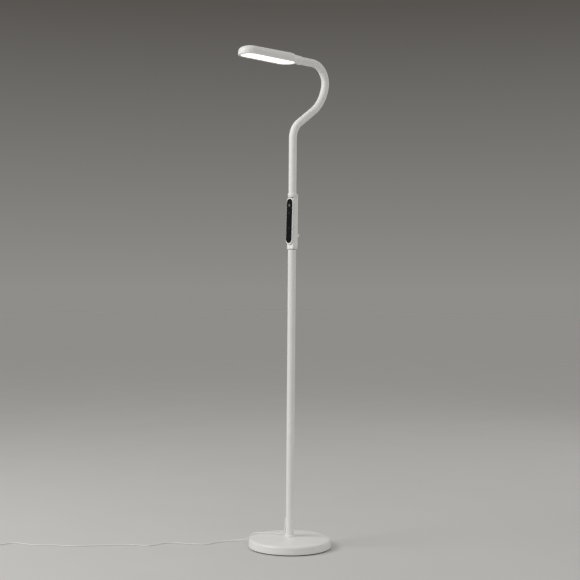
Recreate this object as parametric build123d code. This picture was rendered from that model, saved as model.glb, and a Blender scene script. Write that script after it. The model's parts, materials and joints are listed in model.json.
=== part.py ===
"""Gooseneck reading floor lamp. Millimetres, +Z up, the lamp's front faces -Y.

The origin is on the floor at the centre of the round base. Each function makes one
physical piece, and the last lines write one STEP file for each piece.
"""
from build123d import *
import math
import os

# ---------------------------------------------------------------- driving dimensions
# Base
BASE_R = 130.0            # base cover at its lower edge
BASE_EDGE_Z = 3.0         # height of that edge above the floor, on the rubber ring
BASE_SHOULDER_R = 128.6   # cover at the top of its side wall, before rounding
BASE_SHOULDER_Z = 28.0
BASE_EDGE_ROUND = 8.0
BASE_TOP_Z = 34.0         # flat pad round the pole
BASE_PAD_R = 22.0
BASE_DOME_MID = (76.0, 32.1)   # radius and height of a point on the shallow dome
COVER_T = 1.6
WEIGHT_R = 118.0
WEIGHT_Z = (5.0, 15.0)
HUB_R = 20.0
PLATE_R = 126.0
PLATE_T = 1.5
RING_R = (112.0, 125.5)   # rubber foot ring, inner and outer radius
SCREW_CIRCLE_R = 100.0    # base screws

# Pole
POLE_R = 12.6
POLE_WALL = 1.2
POLE_JOIN_Z = 484.0       # seam between the two pole tubes
POLE_TOP_Z = 936.0
SEAM_CHAMFER = 0.25
SPIGOT_R = 9.5            # stub that the control box slides over
SPIGOT_TOP_Z = 985.0
SOCKET_GAP = 0.08         # running clearance of that stub in its socket

# Control box
BOX_Z = (938.0, 1110.0)
BOX_HALF_W = 14.5
BOX_FRONT_Y = -9.5        # plane where the front cover meets the rear shell
BOX_BACK_Y = 16.2
BOX_FRONT_CORNER = 3.5
BOX_BACK_CORNER = 10.0
BOX_TAPER_H = 14.0        # height of the drawn-in foot of the box
BOX_TAPER_IN = 2.0
BOX_TOP_Z = 1099.8        # flat top, under the neck collar
BOX_WALL = 2.0
PANEL_TILT = 1.43         # degrees: the touch panel faces slightly upwards
PANEL_MID = (-14.5, 1026.0)    # y and z of the middle of the glass face
GLASS_SIZE = (24.4, 139.0)
GLASS_T = 1.9
GLASS_PROUD = 0.9
FRONT_SIZE = (28.4, 146.6)
PARTING = (1.2, 1.0)      # groove between front cover and rear shell: height and depth

# Release lever on the back of the control box
LEVER_HALF_W = 6.0
LEVER_PIVOT = (13.4, 971.2)    # y and z
LEVER_TOP_Z = 985.6
LEVER_TIP_Y = 26.4
PIN_R = 1.0

# Neck collar and gooseneck
COLLAR_R = 14.4
COLLAR_Z = (1102.2, 1114.0)
NECK_R = 12.25
NECK_CORE_R = 7.0
NECK_BORE_R = 3.0
NECK_FOOT_Z = 1106.0      # lower end of the sleeve, inside the collar
NECK_STRAIGHT_TOP_Z = 1285.5
BEND_BACK = (64.0, 55.0)  # radius of the centre line and degrees
SLOPE_RUN = 77.0
BEND_RISE = (134.0, 43.0)
BEND_TOP = (59.0, 102.0)
BALL_GAP = 0.3            # between a link's dome and the socket of the next link
LOWER_JOINTS_Z = (1148.0, 1225.0)
LAST_LINKS = (26.0, 28.0) # from the last bend to the sideways joint and to the head joint
NECK_TAIL = 29.0          # from the head joint to the neck's end inside the head

# Head
HEAD_MID_Y = -111.0
HEAD_SIZE = (73.0, 224.0)
PANEL_SIZE = (56.0, 207.0)
HEAD_BOTTOM_Z = 1519.6
FRAME_TOP_Z = 1527.0
HEAD_DOME_H = 25.0
HEAD_LEAN = 0.9           # degrees: the crown drops a little towards the front
HEAD_WALL = 2.0
TAIL_END_Y = 31.0
TAIL_R = 13.6

# Cord: a thin low-voltage lead, laid along a line turned 45 degrees from the lamp's front
CORD_D = 3.5
LAY_ANGLE = 45.0
RELIEF_TOP_Z = 87.0
COIL_MID = (-962.0, -42.5)
COIL_OUTER_R = 26.5
COIL_PITCH = 4.0
COIL_TURNS = 6
COIL_RISE = 4.2
CORD_ROUTE = [            # along the lay, across it, height
    (-14.5, 14.5, 60.5), (-15.7, 15.7, 46.2), (-26.2, 20.6, 36.8), (-48.0, 29.5, 36.1),
    (-68.0, 36.4, 35.7), (-91.0, 45.4, 35.0), (-117.0, 54.5, 34.0), (-132.5, 61.0, 10.5),
    (-160.0, 63.0, 7.0), (-188.0, 66.0, 5.2), (-216.0, 64.0, 3.2), (-238.0, 49.0, 2.3),
    (-255.0, 27.0, 1.9), (-277.0, 16.5, 1.75), (-303.0, 28.0, 1.75), (-336.0, 30.0, 1.75),
    (-368.0, 44.0, 1.75), (-401.0, 37.0, 1.75), (-422.0, 11.0, 1.75), (-448.0, -8.0, 1.75),
    (-487.0, 3.0, 1.75), (-530.0, 8.5, 1.75), (-575.0, -2.0, 1.75), (-618.0, -5.0, 1.75),
    (-657.0, -20.5, 1.75), (-697.0, -17.0, 1.75), (-740.0, -7.0, 1.75), (-785.0, -8.5, 1.75),
    (-828.0, -0.5, 1.75), (-857.0, 20.0, 1.75), (-886.0, 18.0, 1.75), (-908.0, -5.0, 1.75),
    (-935.0, -16.0, 1.75), (-958.5, -16.0, 1.75)]


# ---------------------------------------------------------------- small helpers
def disc(r, low, high):
    """A solid cylinder on the Z axis between two heights."""
    return Pos(0, 0, low) * Cylinder(r, high - low, align=(Align.CENTER, Align.CENTER, Align.MIN))


def ring(r_in, r_out, low, high):
    return disc(r_out, low, high) - disc(r_in, low - 1, high + 1)


def block(x, y, z):
    """A box from three (low, high) pairs."""
    size = [high - low for low, high in (x, y, z)]
    mid = [(high + low) / 2 for low, high in (x, y, z)]
    return Pos(*mid) * Box(*size)


def lay(shape):
    """Turns a shape from the cord's lay frame into the lamp's frame."""
    return Rot(0, 0, LAY_ANGLE) * shape


def around(n, r, first=0.0):
    """n places on a circle of radius r."""
    return [(r * math.cos(math.radians(first + 360 * i / n)),
             r * math.sin(math.radians(first + 360 * i / n))) for i in range(n)]


# ---------------------------------------------------------------- base
def base_profile(inset):
    """Half section of the base cover's outer form, drawn in by inset."""
    low, top = BASE_EDGE_Z - (5 if inset else 0), BASE_TOP_Z - inset
    shoulder = (BASE_SHOULDER_R - inset, BASE_SHOULDER_Z - inset)
    with BuildSketch(Plane.XZ) as s:
        with BuildLine():
            Polyline((0, low), (BASE_R - inset, low), shoulder)
            ThreePointArc(shoulder, (BASE_DOME_MID[0], BASE_DOME_MID[1] - inset), (BASE_PAD_R, top))
            Polyline((BASE_PAD_R, top), (0, top), (0, low))
        make_face()
        corner = [v for v in s.vertices() if abs(v.X - shoulder[0]) < 0.01 and v.Z > low + 1]
        fillet(corner, BASE_EDGE_ROUND - inset)
    return s.sketch


def base_cover():
    shell = revolve(base_profile(0), Axis.Z) - revolve(base_profile(COVER_T), Axis.Z)
    return shell - disc(5.6, 20, 40)


def base_weight():
    low, high = WEIGHT_Z
    body = disc(WEIGHT_R, low, high) + disc(HUB_R, high, BASE_TOP_Z - COVER_T)
    body = chamfer(body.edges().filter_by(GeomType.CIRCLE).filter_by(lambda e: e.radius > 100), 1.0)
    body -= disc(14.0, 0, 11.6)
    body -= disc(5.4, 0, 60)
    for x, y in around(4, SCREW_CIRCLE_R, 45):
        body -= Pos(x, y) * disc(1.7, 0, 13)
    return body


def base_plate():
    low = BASE_EDGE_Z
    plate = ring(16.0, PLATE_R, low, low + PLATE_T)
    for x, y in around(4, SCREW_CIRCLE_R, 45):
        plate -= Pos(x, y) * disc(2.2, 0, 10)
    return plate


def base_screws():
    """Four pan-head screws that hold the plate to the weight."""
    head_low = 0.9
    screws = []
    for x, y in around(4, SCREW_CIRCLE_R, 45):
        one = disc(3.6, head_low, BASE_EDGE_Z) + disc(1.65, BASE_EDGE_Z, 12.0)
        one = fillet(one.edges().filter_by(GeomType.CIRCLE).group_by(Axis.Z)[0], 0.8)
        one -= block((-2, 2), (-0.4, 0.4), (0, head_low + 0.9)) + block((-0.4, 0.4), (-2, 2), (0, head_low + 0.9))
        screws.append(Pos(x, y) * one)
    return Compound(children=screws)


def foot_ring():
    inner, outer = RING_R
    body = ring(inner, outer, 0, BASE_EDGE_Z)
    body = chamfer(body.edges().group_by(Axis.Z)[0], 0.6)
    for r in (116.0, 119.0, 122.0):
        body -= ring(r - 0.5, r + 0.5, -1, 0.5)
    return body


def foot_collar():
    """Turned ring that hides the joint of pole and base."""
    with BuildSketch(Plane.XZ) as s:
        with BuildLine():
            Polyline((POLE_R + 0.1, BASE_TOP_Z), (16.4, BASE_TOP_Z), (16.4, BASE_TOP_Z + 3.6),
                     (14.2, BASE_TOP_Z + 6.6), (POLE_R + 0.1, BASE_TOP_Z + 6.6), close=True)
        make_face()
    body = revolve(s.sketch, Axis.Z)
    return fillet(body.edges().filter_by(GeomType.CIRCLE).filter_by(lambda e: e.radius > 14), 0.8)


def base_bolt():
    """Hexagon bolt from below, through weight and cover into the pole's foot."""
    washer = ring(5.2, 13.5, 10.0, 11.6)
    head = Pos(0, 0, 5.2) * extrude(RegularPolygon(9.8, 6), 4.8)
    return head + disc(5.2, 10.0, 60.0) + washer


def pole_foot_insert():
    """Threaded plug pressed into the lower end of the pole."""
    body = ring(5.3, POLE_R - POLE_WALL, BASE_TOP_Z, 66.0)
    return chamfer(body.edges().group_by(Axis.Z)[-1], 1.0)


# ---------------------------------------------------------------- pole
def pole_tube(low, high):
    tube = ring(POLE_R - POLE_WALL, POLE_R, low, high)
    rims = tube.edges().filter_by(GeomType.CIRCLE).filter_by(lambda e: e.radius > POLE_R - 0.1)
    return chamfer(rims, SEAM_CHAMFER)


def pole_lower():
    hole = Pos(-POLE_R, 0, RELIEF_TOP_Z) * Rot(0, 90, 0) * Cylinder(3.3, 8)
    return pole_tube(BASE_TOP_Z, POLE_JOIN_Z) - hole


def pole_upper():
    return pole_tube(POLE_JOIN_Z, POLE_TOP_Z)


def pole_connector():
    """Inner sleeve that joins the two pole tubes, with a raised stop at the seam."""
    body = ring(7.0, POLE_R - POLE_WALL - 0.05, POLE_JOIN_Z - 32, POLE_JOIN_Z + 32)
    for z in range(-26, 27, 4):
        body -= ring(POLE_R - POLE_WALL - 0.6, POLE_R, POLE_JOIN_Z + z - 0.6, POLE_JOIN_Z + z + 0.6)
    return body


def pole_spigot():
    """Stub with a shoulder at the top of the pole. The control box slides over it."""
    body = disc(POLE_R - POLE_WALL - 0.05, POLE_TOP_Z - 45, POLE_TOP_Z)
    body += disc(11.0, POLE_TOP_Z, BOX_Z[0] - 0.1) + disc(SPIGOT_R, POLE_TOP_Z, SPIGOT_TOP_Z)
    body = chamfer(body.edges().group_by(Axis.Z)[-1], 1.2)
    body -= disc(4.5, POLE_TOP_Z - 60, SPIGOT_TOP_Z - 4)
    return body - disc(2.0, 900, 1000)


def relief_path():
    """Centre line of the strain relief: out of the pole, then down beside it."""
    end = Vector(*CORD_ROUTE[0]).rotate(Axis.Z, LAY_ANGLE)
    after = Vector(*CORD_ROUTE[1]).rotate(Axis.Z, LAY_ANGLE)
    up = (end - after).normalized()
    return end, end + up * ((RELIEF_TOP_Z - end.Z) / up.Z)


def lead_path():
    """The lead inside the pole: from the sleeve's end round the elbow and up the pole's middle."""
    end, corner = relief_path()
    points = [tuple(end), tuple(corner), (-6, 0, RELIEF_TOP_Z), (0, 0, RELIEF_TOP_Z + 14),
              (0, 0, SPIGOT_TOP_Z - 5)]
    return FilletPolyline(*points, radius=[3.0, 5.0, 8.0])


def cord_relief():
    """Rubber elbow plugged into the pole, and the tapered sleeve on the cord."""
    end, corner = relief_path()
    stub = Pos(-10.0, corner.Y, RELIEF_TOP_Z) * Rot(0, -90, 0) * Cylinder(
        3.1, -10.0 - corner.X, align=(Align.CENTER, Align.CENTER, Align.MIN))
    axis = Plane(origin=corner, z_dir=end - corner)
    sleeve = axis * Cone(3.3, 2.5, (end - corner).length, align=(Align.CENTER, Align.CENTER, Align.MIN))
    body = stub + Pos(*corner) * Sphere(3.3) + sleeve
    for share in (0.3, 0.45, 0.6, 0.75):
        radius = 3.3 - 0.8 * share - 0.5
        cut = Cylinder(6, 1.2) - Cylinder(radius, 1.2)
        body -= Plane(origin=corner + (end - corner) * share, z_dir=end - corner) * cut
    path = lead_path()
    return body - sweep(Plane(origin=path @ 0, z_dir=path % 0) * Circle(CORD_D / 2), path=path)


def inner_lead():
    """The lead inside the pole, from the elbow up to the contact in the spigot."""
    path = lead_path()
    return sweep(Plane(origin=path @ 0, z_dir=path % 0) * Circle(CORD_D / 2 - 0.05), path=path)


# ---------------------------------------------------------------- cord and its adapter
def cord_radii():
    """A radius for each corner of the route: 0.45 of the shorter run over tan(half the turn)."""
    points = [Vector(*p) for p in CORD_ROUTE]
    radii = []
    for a, b, c in zip(points, points[1:], points[2:]):
        half_turn = math.radians((b - a).get_angle(c - b) / 2)
        radii.append(0.45 * min((b - a).length, (c - b).length) / math.tan(half_turn))
    return radii


def cord_tube():
    radii = cord_radii()
    path = lay(FilletPolyline(*CORD_ROUTE, radius=radii))
    tube = sweep(Plane(origin=path @ 0, z_dir=path % 0) * Circle(CORD_D / 2), path=path)
    print("cord radii", [round(r) for r in radii], "least", round(min(radii), 1))
    print("cord length", round(path.length, 1),
          "volume ratio", round(tube.volume / (path.length * math.pi * CORD_D ** 2 / 4), 4))
    return tube


def coil_point(turn):
    """Point of the coil after so many turns: in along the floor layer, out along the upper one."""
    half = COIL_TURNS / 2
    r = COIL_OUTER_R - COIL_PITCH * (half - abs(turn - half))
    climb = min(max((turn - half + 0.25) / 0.5, 0), 1)
    z = CORD_D / 2 + COIL_RISE * (climb * climb * (3 - 2 * climb))
    angle = math.radians(90 + 360 * turn)
    return Vector(r * math.cos(angle), r * math.sin(angle), z)


def coil_heading(turn):
    step = 1e-4
    return (coil_point(turn + step) - coil_point(turn - step)).normalized()


def biarc(p0, t0, p1, t1):
    """Two tangent arcs from p0 to p1 with those headings."""
    v, t = p1 - p0, t0 + t1
    k = 2 * (1 - t0.dot(t1))
    b = v.dot(t)
    d = v.dot(v) / (2 * b) * 1.0 if k < 1e-9 else (-b + math.sqrt(b * b + k * v.dot(v))) / k
    q = (p0 + t0 * d + p1 - t1 * d) / 2
    return [arc_from(p0, t0, q), arc_from(p1, t1 * -1, q, back=True)]


def arc_from(p, t, q, back=False):
    """The arc that leaves p along t and ends at q; back gives it from q to p."""
    chord = q - p
    along = chord.normalized()
    side = t - along * t.dot(along)
    if side.length < 1e-6:
        return Line(q, p) if back else Line(p, q)
    bow = side.normalized() * (chord.length / 2 * math.tan(math.radians(t.get_angle(along)) / 2))
    mid = (p + q) / 2 + bow
    return ThreePointArc(q, mid, p) if back else ThreePointArc(p, mid, q)


def coil_path():
    quarter = 0.25
    lead = CORD_D
    edges = []
    turns = [i * quarter for i in range(int(COIL_TURNS / quarter) + 1)]
    left = Vector(-1, 0, 0)
    points = [coil_point(t) for t in turns]
    heads = [coil_heading(t) for t in turns]
    heads[0] = heads[-1] = left
    start = points[0] - left * lead
    edges.append(Line(start, points[0]))
    for i in range(len(turns) - 1):
        edges += biarc(points[i], heads[i], points[i + 1], heads[i + 1])
    out = points[-1] + Vector(-24, 2.6, 2.1)
    edges += biarc(points[-1], left, out, left)
    edges.append(Line(out, out + left * lead))
    return edges, start, out + left * lead


def cord_coil():
    edges, start, _ = coil_path()
    wire = Wire(edges)
    tube = sweep(Plane(origin=start, z_dir=(-1, 0, 0)) * Circle(CORD_D / 2), path=wire)
    samples = [coil_point(i / 60) for i in range(COIL_TURNS * 60 + 1)]
    gap = min((samples[i] - samples[j]).length for i in range(len(samples))
              for j in range(i + 40, len(samples))) - CORD_D
    print("coil length", round(wire.length, 1), "least gap", round(gap, 2),
          "volume ratio", round(tube.volume / (wire.length * math.pi * CORD_D ** 2 / 4), 4))
    return lay(Pos(*COIL_MID) * tube)


def adapter_place():
    """End of the coil in the lay frame, where the adapter's strain relief starts."""
    _, _, end = coil_path()
    return end + Vector(*COIL_MID)


def adapter_relief():
    end = adapter_place()
    body = Pos(*end) * Rot(0, -90, 0) * Cone(2.3, 3.7, 22, align=(Align.CENTER, Align.CENTER, Align.MIN))
    for step in (5, 9, 13, 17):
        radius = 2.3 + 1.4 * step / 22 - 0.6
        body -= Pos(end.X - step, end.Y, end.Z) * Rot(0, -90, 0) * (Cylinder(6, 1.3) - Cylinder(radius, 1.3))
    return lay(body)


ADAPTER_SIZE = (60.0, 38.0, 26.0)


def adapter_body():
    end = adapter_place()
    length, width, height = ADAPTER_SIZE
    body = Pos(end.X - 22 - length / 2, end.Y - 8, height / 2) * Box(length, width, height)
    body = fillet(body.edges().filter_by(Axis.Z), 7)
    body = fillet(body.edges().group_by(Axis.Z)[-1], 3)
    return lay(chamfer(body.edges().group_by(Axis.Z)[0], 0.8))


def adapter_pins():
    """Two round plug pins, on the face that lies upwards."""
    end = adapter_place()
    length, width, height = ADAPTER_SIZE
    pins = []
    for side in (-9.5, 9.5):
        pin = Pos(end.X - 22 - length / 2, end.Y - 8 + side, height) * Cylinder(
            2.4, 18, align=(Align.CENTER, Align.CENTER, Align.MIN))
        pins.append(lay(fillet(pin.edges().group_by(Axis.Z)[-1], 1.6)))
    return Compound(children=pins)


# ---------------------------------------------------------------- control box
def box_plan(half_w, front, back, front_corner, back_corner):
    plan = Pos(0, (front + back) / 2) * Rectangle(2 * half_w, back - front)
    plan = fillet(plan.vertices().group_by(Axis.Y)[0], front_corner)
    return fillet(plan.vertices().group_by(Axis.Y)[-1], back_corner)


def panel_plane(depth=0.0):
    """Plane parallel to the glass face, depth behind it."""
    tilt = math.radians(PANEL_TILT)
    out = Vector(0, -math.cos(tilt), math.sin(tilt))
    origin = Vector(0, *PANEL_MID) - out * depth
    return Plane(origin=origin, x_dir=(1, 0, 0), z_dir=out)


def box_rear():
    low, high = BOX_Z
    full = box_plan(BOX_HALF_W, BOX_FRONT_Y, BOX_BACK_Y, BOX_FRONT_CORNER, BOX_BACK_CORNER)
    foot = box_plan(BOX_HALF_W - 0.8, BOX_FRONT_Y - 1.6, BOX_BACK_Y - BOX_TAPER_IN, BOX_FRONT_CORNER,
                    BOX_BACK_CORNER - 1)
    knee = low + BOX_TAPER_H
    body = loft([Pos(0, 0, low) * foot, Pos(0, 0, knee) * full])
    body += Pos(0, 0, knee) * extrude(full, high - knee)
    # flat top with the rear wall standing up behind the collar
    body -= disc(COLLAR_R + 0.3, BOX_TOP_Z, high + 5)
    slope = Plane(origin=(0, -3, BOX_TOP_Z), x_dir=(1, 0, 0),
                  z_dir=(0, -(high - BOX_TOP_Z), 15))
    body -= slope * Pos(0, 0, 30) * Box(80, 120, 60)
    body -= block((-20, 20), (-20, -3), (BOX_TOP_Z, high + 5))
    body -= disc(SPIGOT_R + SOCKET_GAP, low - 1, SPIGOT_TOP_Z + 3)
    # room for the circuit board
    room = box_plan(BOX_HALF_W - BOX_WALL, BOX_FRONT_Y - 5, BOX_BACK_Y - BOX_WALL, 1.0,
                    BOX_BACK_CORNER - BOX_WALL)
    body -= Pos(0, 0, SPIGOT_TOP_Z + 10) * extrude(room, BOX_TOP_Z - 11.8 - SPIGOT_TOP_Z - 10)
    body -= disc(9.1, SPIGOT_TOP_Z, BOX_TOP_Z + 1)
    # window and pin holes of the release lever
    y, z = LEVER_PIVOT
    body -= block((-LEVER_HALF_W - 0.3, LEVER_HALF_W + 0.3), (11.1, 30), (z - 2.9, LEVER_TOP_Z + 1.0))
    body -= Pos(0, y, z) * Rot(0, 90, 0) * Cylinder(PIN_R + 0.02, 2 * 9.0)
    return body - box_screw_holes(1.7, 1.0)


def box_front():
    """Front cover: a raised tray round the touch glass, joined to the rear shell at its back plane."""
    width, height = FRONT_SIZE
    back = Plane(origin=(0, BOX_FRONT_Y, PANEL_MID[1]), x_dir=(1, 0, 0), z_dir=(0, -1, 0))
    body = extrude(back * RectangleRounded(width, height, width / 2 - 0.2), 12)
    body = split(body, bisect_by=panel_plane(GLASS_PROUD), keep=Keep.BOTTOM)
    body = fillet(body.faces().sort_by(Axis.Y)[0].outer_wire().edges(), 1.6)
    inner = (width - 2 * PARTING[1], height - 2 * PARTING[1], width / 2 - 0.2 - PARTING[1])
    groove = back * (Rectangle(width + 4, height + 4) - RectangleRounded(*inner))
    body -= extrude(groove, PARTING[0])
    seat = panel_plane(GLASS_T + 0.1) * SlotOverall(GLASS_SIZE[1] + 0.3, GLASS_SIZE[0] + 0.3, rotation=90)
    body -= extrude(seat, 4)
    return body - box_screw_holes(0.8, 0.8)


def touch_glass():
    face = panel_plane(GLASS_T) * SlotOverall(GLASS_SIZE[1], GLASS_SIZE[0], rotation=90)
    body = extrude(face, GLASS_T)
    return fillet(body.faces().sort_by(Axis.Y)[0].outer_wire().edges(), 0.5)


def control_board():
    """Circuit board with the touch pads' chip, a coil, a capacitor and the plug for the neck's wires."""
    y = -7.6
    low, high = SPIGOT_TOP_Z + 13, BOX_TOP_Z - 12.8
    board = block((-11, 11), (y, y + 1.2), (low, high))
    top = y + 1.2
    board += block((-4, 4), (top, top + 1.6), (1062, 1070))
    board += Pos(0, top, 1044) * Rot(-90, 0, 0) * Cylinder(5, 6, align=(Align.CENTER, Align.CENTER, Align.MIN))
    board += Pos(-5, top, 1024) * Rot(-90, 0, 0) * Cylinder(4, 9, align=(Align.CENTER, Align.CENTER, Align.MIN))
    board += block((2, 9), (top, top + 5), (1018, 1026))
    return board + block((-6, 6), (top, top + 6), (1077, 1084))


BOX_SCREWS = [(-11.6, 964.0), (11.6, 964.0), (-11.6, 991.0), (11.6, 991.0)]
SCREW_SEAT_Y = -5.0


def box_screw_holes(head, shank):
    """Holes for the screws that come from the back of the box into its front cover."""
    holes = []
    for x, z in BOX_SCREWS:
        holes.append(Pos(x, SCREW_SEAT_Y, z) * Rot(-90, 0, 0) * Cylinder(
            head, 30, align=(Align.CENTER, Align.CENTER, Align.MIN)))
        holes.append(Pos(x, SCREW_SEAT_Y + 1, z) * Rot(90, 0, 0) * Cylinder(
            shank, 8.4, align=(Align.CENTER, Align.CENTER, Align.MIN)))
    return Compound(children=holes)


def box_screws():
    """Four screws from the back, deep in their holes."""
    screws = []
    for x, z in BOX_SCREWS:
        head = Pos(x, SCREW_SEAT_Y, z) * Rot(-90, 0, 0) * Cylinder(
            1.6, 1.4, align=(Align.CENTER, Align.CENTER, Align.MIN))
        shank = Pos(x, SCREW_SEAT_Y + 0.5, z) * Rot(90, 0, 0) * Cylinder(
            0.8, 7.6, align=(Align.CENTER, Align.CENTER, Align.MIN))
        screws.append(head + shank)
    return Compound(children=screws)


def neck_collar():
    low, high = COLLAR_Z
    body = disc(COLLAR_R, low, high)
    body = fillet(body.edges().group_by(Axis.Z)[-1], 2.2)
    body = fillet(body.edges().group_by(Axis.Z)[0], 0.5)
    body += disc(12.4, BOX_TOP_Z, low) + disc(9.0, BOX_TOP_Z - 10, BOX_TOP_Z)
    return body - disc(NECK_R + 0.1, NECK_FOOT_Z, high + 1) - disc(4.0, 1000, 1200)


def release_lever():
    """Thumb lever: a plate on the pin, with the wedge that stands out of the back."""
    y, z = LEVER_PIVOT
    inner, outer = 12.3, 15.4
    wedge = [(inner, z), (inner, LEVER_TOP_Z), (LEVER_TIP_Y - 1.2, LEVER_TOP_Z), (LEVER_TIP_Y, LEVER_TOP_Z - 1.4),
             (LEVER_TIP_Y - 0.8, LEVER_TOP_Z - 5), (19.6, z + 3.2), (17.2, z - 0.6), (outer, z - 1.4)]
    side = Plane(origin=(-LEVER_HALF_W, 0, 0), x_dir=(0, 1, 0), z_dir=(1, 0, 0))
    body = extrude(side * make_face(Polyline(*wedge, close=True)), 2 * LEVER_HALF_W)
    body += Pos(0, y, z) * Rot(0, 90, 0) * Cylinder(2.1, 2 * LEVER_HALF_W)
    for y_groove in (18.6, 20.4, 22.2):
        body -= block((-4.4, 4.4), (y_groove, y_groove + 0.7), (LEVER_TOP_Z - 0.5, LEVER_TOP_Z + 1))
    return body - Pos(0, y, z) * Rot(0, 90, 0) * Cylinder(PIN_R + 0.06, 40)


def lever_pin():
    y, z = LEVER_PIVOT
    return Pos(0, y, z) * Rot(0, 90, 0) * Cylinder(PIN_R, 2 * 8.6)


def lever_spring():
    """Bent leaf between the socket wall and the lever."""
    low, high = 976.0, 984.0
    bow = [(11.15, low), (12.05, (low + high) / 2), (11.15, high)]
    side = Plane(origin=(-3.5, 0, 0), x_dir=(0, 1, 0), z_dir=(1, 0, 0))
    leaf = [(y + 0.18, z) for y, z in reversed(bow)]
    return extrude(side * make_face(Polyline(*bow, *leaf, close=True)), 7)


# ---------------------------------------------------------------- gooseneck
def neck_joints():
    """[(y, z, heading of the link below in degrees, bend at rest, 'fold' or 'side')], from the box to the head.

    The centre line is straight, bends back, slopes, rises and bends forward over the top.
    Each bend is a chain of straight links that touch its arc at their middles.
    """
    def reach(bend, n):
        return bend[0] * math.tan(math.radians(bend[1] / n) / 2)
    back, rise, top = reach(BEND_BACK, 2), reach(BEND_RISE, 2), reach(BEND_TOP, 3)
    steps = [(NECK_STRAIGHT_TOP_Z + back - LOWER_JOINTS_Z[1], -BEND_BACK[1] / 2, "fold"),
             (2 * back, -BEND_BACK[1] / 2, "fold"),
             ((back + SLOPE_RUN + rise) / 2, 0.0, "side"),
             ((back + SLOPE_RUN + rise) / 2, BEND_RISE[1] / 2, "fold"),
             (2 * rise, BEND_RISE[1] / 2, "fold"),
             (rise + top, BEND_TOP[1] / 3, "fold"),
             (2 * top, BEND_TOP[1] / 3, "fold"),
             (2 * top, BEND_TOP[1] / 3, "fold"),
             (LAST_LINKS[0], 0.0, "side"),
             (LAST_LINKS[1], 0.0, "fold")]
    joints = [(0.0, LOWER_JOINTS_Z[0], 90.0, 0.0, "fold"), (0.0, LOWER_JOINTS_Z[1], 90.0, 0.0, "side")]
    y, z, heading = 0.0, LOWER_JOINTS_Z[1], 90.0
    for run, bend, kind in steps:
        y += run * math.cos(math.radians(heading))
        z += run * math.sin(math.radians(heading))
        joints.append((y, z, heading, bend, kind))
        heading += bend
    return joints


# Largest bend of each joint away from straight, in degrees: what its socket rim leaves room for
FOLD_LIMITS = [(-22, 14), (-30, 30), (-42, 2), (-42, 2), (-30, 30), (-10, 24), (-10, 24),
               (-10, 40), (-10, 40), (-10, 40), (-30, 30), (-25, 20)]


def rim_height(limits):
    """How far above a joint's centre the socket's rim starts, so that it clears the link below."""
    ball = NECK_R + BALL_GAP
    free = math.asin(math.sqrt(ball ** 2 - NECK_R ** 2) / ball)
    bend = math.radians(max(abs(limits[0]), abs(limits[1])))
    return max(3.4, ball * math.sin(max(bend - free, 0)) + 0.7)


def neck_link(index):
    """(core, sleeve) of one link of the gooseneck. Link 0 stands in the collar, the last one in the head."""
    joints = neck_joints()
    ball = NECK_R + BALL_GAP
    if index == 0:
        y, z, heading, rim = 0.0, NECK_FOOT_Z, 90.0, 0.0
    else:
        y, z, heading, bend, _ = joints[index - 1]
        heading += bend
        rim = rim_height(FOLD_LIMITS[index - 1])
    length = NECK_TAIL if index == len(joints) else math.hypot(joints[index][0] - y, joints[index][1] - z)
    turn = math.radians(heading)
    frame = Plane(origin=(0, y, z), x_dir=(1, 0, 0), z_dir=(0, math.cos(turn), math.sin(turn)))
    whole = disc(NECK_R, rim, length)
    middle = disc(NECK_CORE_R, rim, length + NECK_R)
    if index < len(joints):
        whole += Pos(0, 0, length) * Sphere(NECK_R)
    if index:
        whole -= Sphere(ball)
    core = (whole & middle) - disc(NECK_BORE_R, -20, length + 20)
    sleeve = whole - middle
    return frame * core, frame * sleeve


# ---------------------------------------------------------------- head
def oblong(size, z, inset=0.0, y=HEAD_MID_Y):
    """A long shape with round ends, flat at height z."""
    width, length = size[0] - 2 * inset, size[1] - 2 * inset
    return Pos(0, y, z) * SlotOverall(length, width, rotation=90)


def head_form(inset):
    """The cover's domed oblong, drawn in by inset: each section higher up is narrower and leans more."""
    shares = [1.0, 0.985, 0.94, 0.86, 0.72, 0.5, 0.25]
    height = HEAD_DOME_H - inset
    drop = HEAD_SIZE[1] / 2 * math.tan(math.radians(HEAD_LEAN))
    sections = []
    for share in shares:
        width = (HEAD_SIZE[0] - 2 * inset) * share
        length = HEAD_SIZE[1] - 2 * inset - (HEAD_SIZE[0] - 2 * inset - width)
        rise = (1 - share ** 2.5) ** 0.4
        place = Pos(0, HEAD_MID_Y, FRAME_TOP_Z + height * rise - drop * rise) * Rot(HEAD_LEAN * rise, 0, 0)
        sections.append(place * SlotOverall(length, width, rotation=90))
    dome = loft(sections)
    crown = sections[-1]
    return dome + extrude(crown, 0.01)


def head_tail(inset):
    """Round-cornered body that narrows from the housing to the neck."""
    _, axis_z, *_ = neck_joints()[-1]
    places = [(-46.0, 58.0, 20.0, FRAME_TOP_Z + 11.5), (-22.0, 52.0, 22.4, FRAME_TOP_Z + 11.7),
              (-2.0, 38.0, 25.6, FRAME_TOP_Z + 10.4), (14.0, 29.4, 27.0, axis_z + 0.6),
              (TAIL_END_Y, 2 * TAIL_R, 2 * TAIL_R, axis_z)]
    sections = []
    for y, width, height, z in places:
        plane = Plane(origin=(0, y, z), x_dir=(1, 0, 0), z_dir=(0, 1, 0))
        sections.append(plane * Ellipse(width / 2 - inset, height / 2 - inset))
    return loft(sections)


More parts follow.
